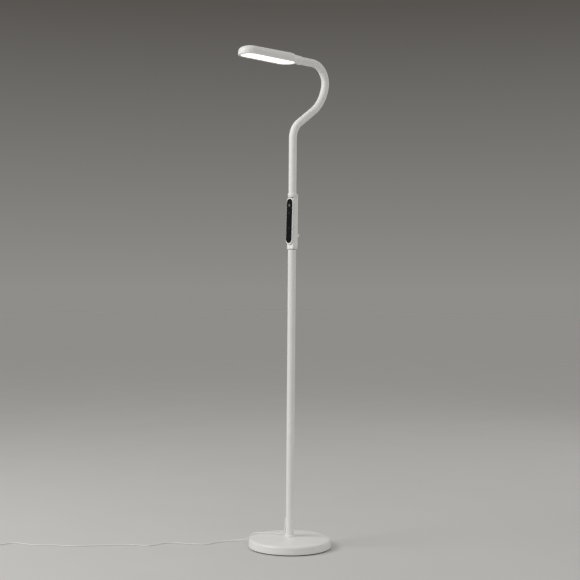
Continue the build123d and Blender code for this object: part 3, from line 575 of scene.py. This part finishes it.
# ---------------------------------------------------------------- gooseneck
def neck_line(step=0.5):
    """[(y, z, heading)] along the gooseneck's centre line, from the collar to inside the head."""
    straight = NECK_STRAIGHT_TOP_Z - NECK_FOOT_Z
    y, z, heading = 0.0, NECK_FOOT_Z, math.radians(90)
    runs = [(straight, 0.0), (BEND_BACK[0] * math.radians(BEND_BACK[1]), -1 / BEND_BACK[0]), (SLOPE_RUN, 0.0),
            (BEND_RISE[0] * math.radians(BEND_RISE[1]), 1 / BEND_RISE[0]),
            (BEND_TOP[0] * math.radians(BEND_TOP[1]), 1 / BEND_TOP[0]), (NECK_LAST_RUN, 0.0)]
    line = [(y, z, heading)]
    for length, turn in runs:
        count = max(1, round(length / step))
        for _ in range(count):
            bit = length / count
            y += bit * math.cos(heading + turn * bit / 2)
            z += bit * math.sin(heading + turn * bit / 2)
            heading += turn * bit
            if heading >= math.pi - 1e-6 and y < TAIL_END_Y - NECK_OVERLAP:
                return line
            line.append((y, z, heading))
    return line


def hose(run, step, outer, inner, around):
    """Skin of a tube along a run of the centre line; its outer radius goes through the given ones in turn."""
    stations = run[::step] + ([run[-1]] if (len(run) - 1) % step else [])
    radii = [outer[k % len(outer)] for k in range(len(stations))]
    rings = []
    for (y, z, heading), r in list(zip(stations, radii)) + [(s, inner) for s in reversed(stations)]:
        ring = []
        for a in range(around):
            across, out = r * math.cos(2 * math.pi * a / around), r * math.sin(2 * math.pi * a / around)
            ring.append((across, y - out * math.sin(heading), z + out * math.cos(heading)))
        rings.append(ring)
    return skin(rings)


def neck_skin():
    """White skin and wound core, one piece of each for every joint, each reaching halfway to its neighbours."""
    line = neck_line()
    joints = [j for j in frame["joints"] if j["type"] == "hinge" and j["name"] != "lever_press"]
    places = [Vector(j["pos_m"]) / MM for j in joints]
    cuts = [0]
    for low, high in zip(places, places[1:]):
        middle = (low + high) / 2
        cuts.append(min(range(len(line)),
                        key=lambda k: (line[k][0] - middle.y) ** 2 + (line[k][1] - middle.z) ** 2))
    cuts.append(len(line) - 1)
    sleeves = sorted(n for n in frame["nodes"] if n.startswith("neck_sleeve"))
    cores = sorted(n for n in frame["nodes"] if n.startswith("neck_core"))
    for i, joint in enumerate(joints):
        last = i == len(joints) - 1
        run = line[cuts[i]:cuts[i + 1] + 1]
        tube = piece(f"neck_skin_{i + 1:02d}", *hose(run, 5, [NECK_R], NECK_R - SKIN_WALL, 48), None,
                     "white_silicone", [sleeves[i]] + ([sleeves[-1]] if last else []), sharp=50)
        wire = piece(f"neck_wire_{i + 1:02d}", *hose(run, 2, WIRE_RADII, WIRE_BORE, 24), None,
                     slot_of(cores[i]), [cores[i]] + ([cores[-1]] if last else []), sharp=60)
        for bent in (tube, wire):
            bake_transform(bent)


# ---------------------------------------------------------------- light head
TAIL_KEYS = [             # y, half width, top and bottom of the tail's cross section
    (-60.0, 28.0, 1546.4, 1529.0), (-46.0, 28.5, 1547.6, 1528.5), (-22.0, 25.5, 1549.6, 1527.5),
    (-2.0, 18.6, 1550.0, 1524.6), (14.0, 14.7, 1549.5, 1522.3),
    (TAIL_END_Y, TAIL_R, TAIL_AXIS_Z + TAIL_R, TAIL_AXIS_Z - TAIL_R)]


def eased(keys, y):
    """Values at y from keys of (y, value, ...), along a smooth curve through them."""
    y = min(max(y, keys[0][0]), keys[-1][0])
    i = max(k for k in range(len(keys) - 1) if keys[k][0] <= y)
    span = keys[i + 1][0] - keys[i][0]
    t = (y - keys[i][0]) / span
    weights = (2 * t ** 3 - 3 * t ** 2 + 1, t ** 3 - 2 * t ** 2 + t,
               -2 * t ** 3 + 3 * t ** 2, t ** 3 - t ** 2)

    def slope(k, column):
        a, b = max(k - 1, 0), min(k + 1, len(keys) - 1)
        return (keys[b][column] - keys[a][column]) / (keys[b][0] - keys[a][0])

    values = []
    for column in range(1, len(keys[0])):
        ends = (keys[i][column], span * slope(i, column), keys[i + 1][column], span * slope(i + 1, column))
        values.append(sum(weight * end for weight, end in zip(weights, ends)))
    return values


def body_section(y):
    """Half width of the domed body at y and its rise over the frame; both are 0 past its ends."""
    past = max(0.0, abs(y - HEAD_MID_Y) - HEAD_SPINE)
    if past >= HEAD_R:
        return 0.0, 0.0
    full = HEAD_DOME_H - (HEAD_MID_Y + HEAD_SPINE + HEAD_R - y) * math.tan(math.radians(HEAD_LEAN))
    return math.sqrt(HEAD_R ** 2 - past ** 2), full * (1 - (past / HEAD_R) ** DOME_POWER) ** (1 / DOME_POWER)


def body_reach(half, rise, centre, c, s):
    """Distance from the centre of a cross section to the domed body in the direction (c, s)."""
    if rise <= centre - FRAME_TOP_Z + 0.01:
        return 0.0
    low, high = 0.0, 60.0
    for _ in range(30):
        mid = (low + high) / 2
        x, z = mid * c, centre + mid * s - FRAME_TOP_Z
        inside = z >= 0 and (abs(x) / half) ** DOME_POWER + (z / rise) ** DOME_POWER <= 1
        low, high = (mid, high) if inside else (low, mid)
    return low


def tail_reach(y, centre, c, s):
    """The same distance to the tail, whose cross section is an ellipse."""
    half, top, bottom = eased(TAIL_KEYS, y)
    rise = (top - bottom) / 2
    offset = centre - (top + bottom) / 2
    qa, qb, qc = (c / half) ** 2 + (s / rise) ** 2, 2 * offset * s / rise ** 2, (offset / rise) ** 2 - 1
    return (-qb + math.sqrt(max(qb * qb - 4 * qa * qc, 0))) / (2 * qa)


def head_reach(y, centre, c, s):
    """The same distance to the skin in which body and tail flow into each other."""
    body = body_reach(*body_section(y), centre, c, s)
    if y < TAIL_KEYS[0][0]:
        return body
    tail = tail_reach(y, centre, c, s)
    soft = FLOW * min(1.0, (y - TAIL_KEYS[0][0]) / FLOW_RUN) if s > -0.25 else 0.0
    return (body + tail + math.sqrt((body - tail) ** 2 + soft ** 2)) / 2 if body > 0 else tail


def head_ring(y):
    """Cross section of the cover at y: an arch from edge to edge, then the way back below."""
    half, rise = body_section(y)
    in_tail = min(max((y - TAIL_START_Y) / (TAIL_FULL_Y - TAIL_START_Y), 0.0), 1.0)
    body_centre = FRAME_TOP_Z + 0.4 * rise
    tail_centre = TAIL_AXIS_Z + 0.6 * (1 - (y - TAIL_FULL_Y) / (TAIL_END_Y - TAIL_FULL_Y))
    centre = (1 - in_tail) * body_centre + in_tail * tail_centre
    corner = math.atan2(max(centre - FRAME_TOP_Z, 0.05), max(half, 19.0 if y > TAIL_KEYS[0][0] else half))
    arch, under = math.pi + 2 * corner, math.pi - 2 * corner
    angles = [-corner + arch * i / ARCH_STEPS for i in range(ARCH_STEPS + 1)]
    angles += [math.pi + corner + under * i / UNDER_STEPS for i in range(1, UNDER_STEPS)]
    ring = []
    for a in angles:
        out = head_reach(y, centre, math.cos(a), math.sin(a))
        ring.append((out * math.cos(a), y, centre + out * math.sin(a)))
    return ring


def head_shell():
    """Domed cover that flows into the tail the gooseneck enters, as one skin of cross sections."""
    front = HEAD_MID_Y - HEAD_SPINE
    stations = [front - HEAD_R * math.cos(math.radians(a)) for a in NOSE_ANGLES]
    stations += [front + (TAIL_END_Y - 1.0 - front) * i / HEAD_STEPS for i in range(HEAD_STEPS + 1)]
    rings = [head_ring(y) for y in stations]
    for y, r in ((TAIL_END_Y - 0.3, TAIL_R - 0.1), (TAIL_END_Y, TAIL_R - 0.5), (TAIL_END_Y, NECK_R + 0.5),
                 (TAIL_END_Y - 0.4, NECK_R + 0.12), (TAIL_END_Y - 4.0, NECK_R + 0.1)):
        ring = []
        for x, _, z in rings[-1]:
            scale = r / math.hypot(x, z - TAIL_AXIS_Z)
            ring.append((x * scale, y, TAIL_AXIS_Z + (z - TAIL_AXIS_Z) * scale))
        rings.append(ring)
    verts, faces = skin(rings, closed=False, first_cap=True, last_cap=True)
    piece("head_shell", verts, faces, "head", "white_plastic", ["head_cover"], sharp=38)


def head_bezel():
    """Rim round the lit panel: rounded outside, a small lip inside, and the step that holds the diffuser."""
    low, top = HEAD_BOTTOM_Z, FRAME_TOP_Z
    profile = [(HEAD_R - 0.35, top - 0.05), (HEAD_R, top - 0.5), (HEAD_R, low + 2.6)]
    profile += arc((HEAD_R - 2.4, low + 2.4), 2.4, 0, -90, 8)
    profile += arc((PANEL_R + 1.0, low + 0.8), 0.8, -90, -180, 5)
    profile += [(PANEL_R + 0.1, PANEL_SEAT_Z), (PANEL_R + 2.3, PANEL_SEAT_Z), (PANEL_R + 2.3, top - 0.05)]
    piece("head_bezel", *raced(profile), "head", "white_plastic", ["head_frame"])


# ---------------------------------------------------------------- touch panel keys
def panel_place(x, up):
    """A point just over the glass, x across and up along it from its middle, in millimetres."""
    tilt = math.radians(PANEL_TILT)
    out = Vector((0, -math.cos(tilt), math.sin(tilt)))
    along = Vector((0, math.sin(tilt), math.cos(tilt)))
    return Vector((x, *PANEL_MID)) + along * up + out * GLASS_GAP


def flat_ring(up, r, line, gap=0.0, count=40):
    """Quads of a flat ring on the glass; gap leaves its top open by so many degrees."""
    quads = []
    span = 360 - gap
    for i in range(count):
        corners = []
        for t, reach in ((i, r), (i + 1, r), (i + 1, r - line), (i, r - line)):
            angle = math.radians(90 + gap / 2 + span * t / count)
            corners.append((reach * math.cos(angle), up + reach * math.sin(angle)))
        quads.append(corners)
    return quads


def key_plate(quads):
    """Thin raised plates for the marks of one key, as vertices and faces."""
    verts, faces = [], []
    for quad in quads:
        start = len(verts)
        front = [panel_place(x, up) for x, up in quad]
        back = [p + Vector((0, KEY_DEPTH, 0)) for p in front]
        verts += [tuple(p) for p in front + back]
        faces += [(start, start + 1, start + 2, start + 3), (start + 7, start + 6, start + 5, start + 4)]
        faces += [(start + a, start + 4 + a, start + 4 + (a + 1) % 4, start + (a + 1) % 4) for a in range(4)]
    return verts, faces


def ray_marks(up, r):
    """Rays of a brightness key: one short bar, repeated round the mark."""
    ray = box_mesh("ray", [r + reach for reach in RAY_SPAN], (-RAY_HALF, RAY_HALF), (0.0, KEY_DEPTH))
    mesh = grown(CIRCLE, ray, "unlit key", {"Count": RAY_COUNT, "Circle radius": 0.0, "First angle": 0.0})
    tilt = Matrix.Rotation(math.radians(90 - PANEL_TILT), 4, "X")
    mesh.transform(Matrix.Translation(panel_place(0, up) * MM) @ tilt)
    return mesh


def keys():
    """Marks behind the glass: a lit power key and two faint brightness keys."""
    half, (low, high) = POWER_LINE / 2, POWER_BAR
    power = flat_ring(POWER_UP, POWER_R, POWER_LINE, POWER_GAP)
    power.append([(half, low), (half, high), (-half, high), (-half, low)])
    piece("key_power", *key_plate(power), "control_box", "black_glass", finish_name="lit key")
    for name, up, r in DIM_KEYS:
        piece(name, *key_plate(flat_ring(up, r, DIM_LINE)), "control_box", "black_glass",
              finish_name="unlit key")
        placed(f"{name}_rays", ray_marks(up, r), "control_box")


# ---------------------------------------------------------------- cord
CORD_ROUTE = [            # along the lay, across it, height
    (-14.5, 14.5, 60.5), (-15.7, 15.7, 46.2), (-26.2, 20.6, 36.8), (-48.0, 29.5, 36.1),
    (-68.0, 36.4, 35.7), (-91.0, 45.4, 35.0), (-117.0, 54.5, 34.0), (-132.5, 61.0, 10.5),
    (-160.0, 63.0, 7.0), (-188.0, 66.0, 5.2), (-216.0, 64.0, 3.2), (-238.0, 49.0, 2.3),
    (-255.0, 27.0, 1.9), (-277.0, 16.5, 1.75), (-303.0, 28.0, 1.75), (-336.0, 30.0, 1.75),
    (-368.0, 44.0, 1.75), (-401.0, 37.0, 1.75), (-422.0, 11.0, 1.75), (-448.0, -8.0, 1.75),
    (-487.0, 3.0, 1.75), (-530.0, 8.5, 1.75), (-575.0, -2.0, 1.75), (-618.0, -5.0, 1.75),
    (-657.0, -20.5, 1.75), (-697.0, -17.0, 1.75), (-740.0, -7.0, 1.75), (-785.0, -8.5, 1.75),
    (-828.0, -0.5, 1.75), (-857.0, 20.0, 1.75), (-886.0, 18.0, 1.75), (-908.0, -5.0, 1.75),
    (-935.0, -16.0, 1.75)]


def laid(p):
    """A point of the lay frame, in millimetres, as metres in the lamp's frame."""
    c, s = math.cos(math.radians(LAY_ANGLE)), math.sin(math.radians(LAY_ANGLE))
    return Vector((p[0] * c - p[1] * s, p[0] * s + p[1] * c, p[2])) * MM


def coil_turns(per_turn=16):
    """Control points of the coil: inwards on the floor, then outwards on the layer above."""
    half = COIL_TURNS / 2
    points = []
    for i in range(COIL_TURNS * per_turn + 1):
        turn = i / per_turn
        r = (COIL_OUTER_R - COIL_PITCH * (half - abs(turn - half))) / math.cos(math.pi / per_turn)
        climb = min(max((turn - half + 0.25) / 0.5, 0), 1)
        z = CORD_D / 2 + COIL_RISE * climb * climb * (3 - 2 * climb)
        angle = math.radians(90 + 360 * turn)
        points.append((COIL_MID[0] + r * math.cos(angle), COIL_MID[1] + r * math.sin(angle), z))
    return points


def cord():
    """The whole lead as one smooth curve: down from the pole, along the floor, the coil, the adapter."""
    coil = coil_turns()
    end = coil[-1]
    out = (COIL_MID[0] - 27.5, COIL_MID[1] + COIL_OUTER_R + 2.6, end[2] + 2.1)
    route = CORD_ROUTE + coil + [(end[0] - 9.0, COIL_MID[1] + COIL_OUTER_R + 0.1, end[2] + 0.2),
                                 (end[0] - 16.0, out[1], out[2]), out]
    curve = bpy.data.curves.new("cord_lead", "CURVE")
    curve.dimensions = "3D"
    curve.bevel_depth = CORD_D / 2 * MM
    curve.bevel_resolution = 5
    curve.use_fill_caps = True
    curve.resolution_u = 10
    spline = curve.splines.new("NURBS")
    spline.points.add(len(route) - 1)
    for point, place in zip(spline.points, route):
        point.co = (*laid(place), 1)
    spline.order_u = 3
    spline.use_endpoint_u = True
    curve.materials.append(FINISHES["white_cord"])
    lead = linked(bpy.data.objects.new("cord_lead", curve))
    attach(lead, "base")
    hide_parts("cord_tube", "cord_coil")


def cord_sleeve():
    """Strain relief at the pole: an elbow of plug and ball, and a tapered sleeve with shrinking ribs."""
    slot = slot_of("cord_relief")
    end, after = laid(CORD_ROUTE[0]) / MM, laid(CORD_ROUTE[1]) / MM
    up = (end - after).normalized()
    top = end + up * ((RELIEF_TOP_Z - end.z) / up.z)
    axis = end - top
    length, bore = axis.length, CORD_D / 2 + 0.03
    r_top, r_end = SLEEVE_R
    profile = [(bore, 0), (r_top - 0.4, 0), (r_top, 0.4), (r_top, 0.16 * length),
               (r_top - RIB_DEPTH, 0.2 * length), (r_end - RIB_DEPTH + 0.1, length - 1.0),
               (r_end - RIB_DEPTH - 0.1, length), (bore, length)]
    rib = [(0.72, -1), (0.9, -1), (1.0, -0.4), (1.0, 0.4), (0.9, 1), (0.72, 1)]
    rib_mesh = clean_mesh("rib", *turned([(r, z * RIB_HALF) for r, z in rib], 48))
    ribs = grown(ROW, rib_mesh, slot, {
        "Count": SLEEVE_RIBS, "Start": 0.28 * length * MM, "Step": 0.72 * length / SLEEVE_RIBS * MM,
        "First size": r_top * 0.97, "Last size": r_end})
    whole = bmesh.new()
    whole.from_mesh(clean_mesh("sleeve", *turned(profile, 48)))
    whole.from_mesh(ribs)
    whole.transform(Matrix.Translation(top * MM) @ axis.to_track_quat("Z", "Y").to_matrix().to_4x4())
    ball = bmesh.ops.create_uvsphere(whole, u_segments=32, v_segments=20, radius=r_top * MM)
    bmesh.ops.translate(whole, verts=ball["verts"], vec=top * MM)
    side = Vector((PLUG_START_X, top.y, RELIEF_TOP_Z)) - top
    plug = bmesh.ops.create_cone(whole, cap_ends=True, segments=40, radius1=PLUG_R * MM, radius2=PLUG_R * MM,
                                 depth=side.length * MM)
    bmesh.ops.rotate(whole, verts=plug["verts"], matrix=side.to_track_quat("Z", "Y").to_matrix())
    bmesh.ops.translate(whole, verts=plug["verts"], vec=(top + side / 2) * MM)
    mesh = bpy.data.meshes.new("cord_sleeve")
    whole.to_mesh(mesh)
    whole.free()
    mesh.materials.append(FINISHES[slot])
    for polygon in mesh.polygons:
        polygon.material_index = 0
    placed("cord_sleeve.001", mesh, "base", ["cord_relief"])


# ---------------------------------------------------------------- carried-over nodes
def dress_nodes():
    """Every CAD node that still shows gets its slot's finish; the pole's spigot gets painted shadow instead."""
    for name, node in frame["nodes"].items():
        node.data.materials.clear()
        # the pole's spigot is painted near-black as the shadow in the gap under the control box, in place of its
        # slot's finish
        node.data.materials.append(FINISHES["painted_gap_shadow" if name == "pole_spigot" else slot_of(name)])


# ---------------------------------------------------------------- studio
def backdrop():
    """World: soft light on the lamp, and a plain wall tone that darkens upwards where the camera looks."""
    world = bpy.context.scene.world or bpy.data.worlds.new("studio")
    bpy.context.scene.world = world
    world.use_nodes = True
    tree = world.node_tree
    light = tree.nodes["Background"]
    light.inputs["Color"].default_value = (*AMBIENT_TONE, 1)
    light.inputs["Strength"].default_value = AMBIENT
    look = tree.nodes.new("ShaderNodeBackground")
    place = tree.nodes.new("ShaderNodeTexCoord")
    parts = tree.nodes.new("ShaderNodeSeparateXYZ")
    path = tree.nodes.new("ShaderNodeLightPath").outputs
    tree.links.new(place.outputs["Generated"], parts.inputs[0])
    height = between(tree, parts.outputs[2], 0.0, 1.0, 0.0, WALL_TOP)
    tree.links.new(mixed(tree, height, FLOOR_TONE, WALL_TOP_TONE), look.inputs["Color"])
    seen = worked(tree, "ADD", path["Is Camera Ray"], path["Is Transmission Ray"])
    seen.node.use_clamp = True
    both = tree.nodes.new("ShaderNodeMixShader")
    feed(tree, both.inputs, (seen, light.outputs[0], look.outputs[0]))
    tree.links.new(both.outputs[0], tree.nodes["World Output"].inputs["Surface"])


def studio():
    """Plain pale floor and soft even light."""
    material, tree, shader, place = principled("studio floor")
    cloud = noise(tree, place, 3.0, 2.0)
    tree.links.new(mixed(tree, between(tree, cloud, 0, 1), (0.66, 0.65, 0.63), (0.645, 0.635, 0.615)),
                   shader.inputs["Base Color"])
    shader.inputs["Roughness"].default_value = 0.7
    mesh = bpy.data.meshes.new("studio_floor")
    corners = [(x * FLOOR_HALF, y * FLOOR_HALF, 0) for x, y in ((-1, -1), (1, -1), (1, 1), (-1, 1))]
    mesh.from_pydata(corners, [], [(0, 1, 2, 3)])
    mesh.materials.append(material)
    floor = linked(bpy.data.objects.new("studio_floor", mesh))
    backdrop()
    for name, at, size, power in LAMPS:
        data = bpy.data.lights.new(name, "AREA")
        data.size = size
        data.energy = power
        lamp = linked(bpy.data.objects.new(name, data))
        lamp.location = at
        lamp.rotation_euler = (Vector(LAMPS_AIM) - Vector(at)).to_track_quat("-Z", "Y").to_euler()


def camera():
    """The photograph's camera: level, and 45 degrees to the lamp's front."""
    azimuth = math.radians(CAMERA_AZIMUTH)
    data = bpy.data.cameras.new("camera")
    data.sensor_width = SENSOR_MM
    data.lens = SENSOR_MM * FOCAL_PX / PICTURE_PX
    viewer = linked(bpy.data.objects.new("camera", data))
    viewer.location = (CAMERA_DISTANCE * math.sin(azimuth) + CAMERA_ASIDE * math.cos(azimuth),
                       -CAMERA_DISTANCE * math.cos(azimuth) + CAMERA_ASIDE * math.sin(azimuth), CAMERA_HEIGHT)
    turn = Matrix.Rotation(azimuth, 3, "Z") @ Matrix.Rotation(math.radians(90), 3, "X")
    viewer.rotation_euler = (turn @ Matrix.Rotation(math.radians(CAMERA_ROLL), 3, "Z")).to_euler()
    bpy.context.scene.camera = viewer
    bpy.context.scene.view_settings.view_transform = "Standard"


dress_nodes()
studio()
camera()
cord()
base_shell()
pole()
foot_collar()
neck_ring()
neck_skin()
head_shell()
head_bezel()
keys()
plate_screws()
cord_sleeve()
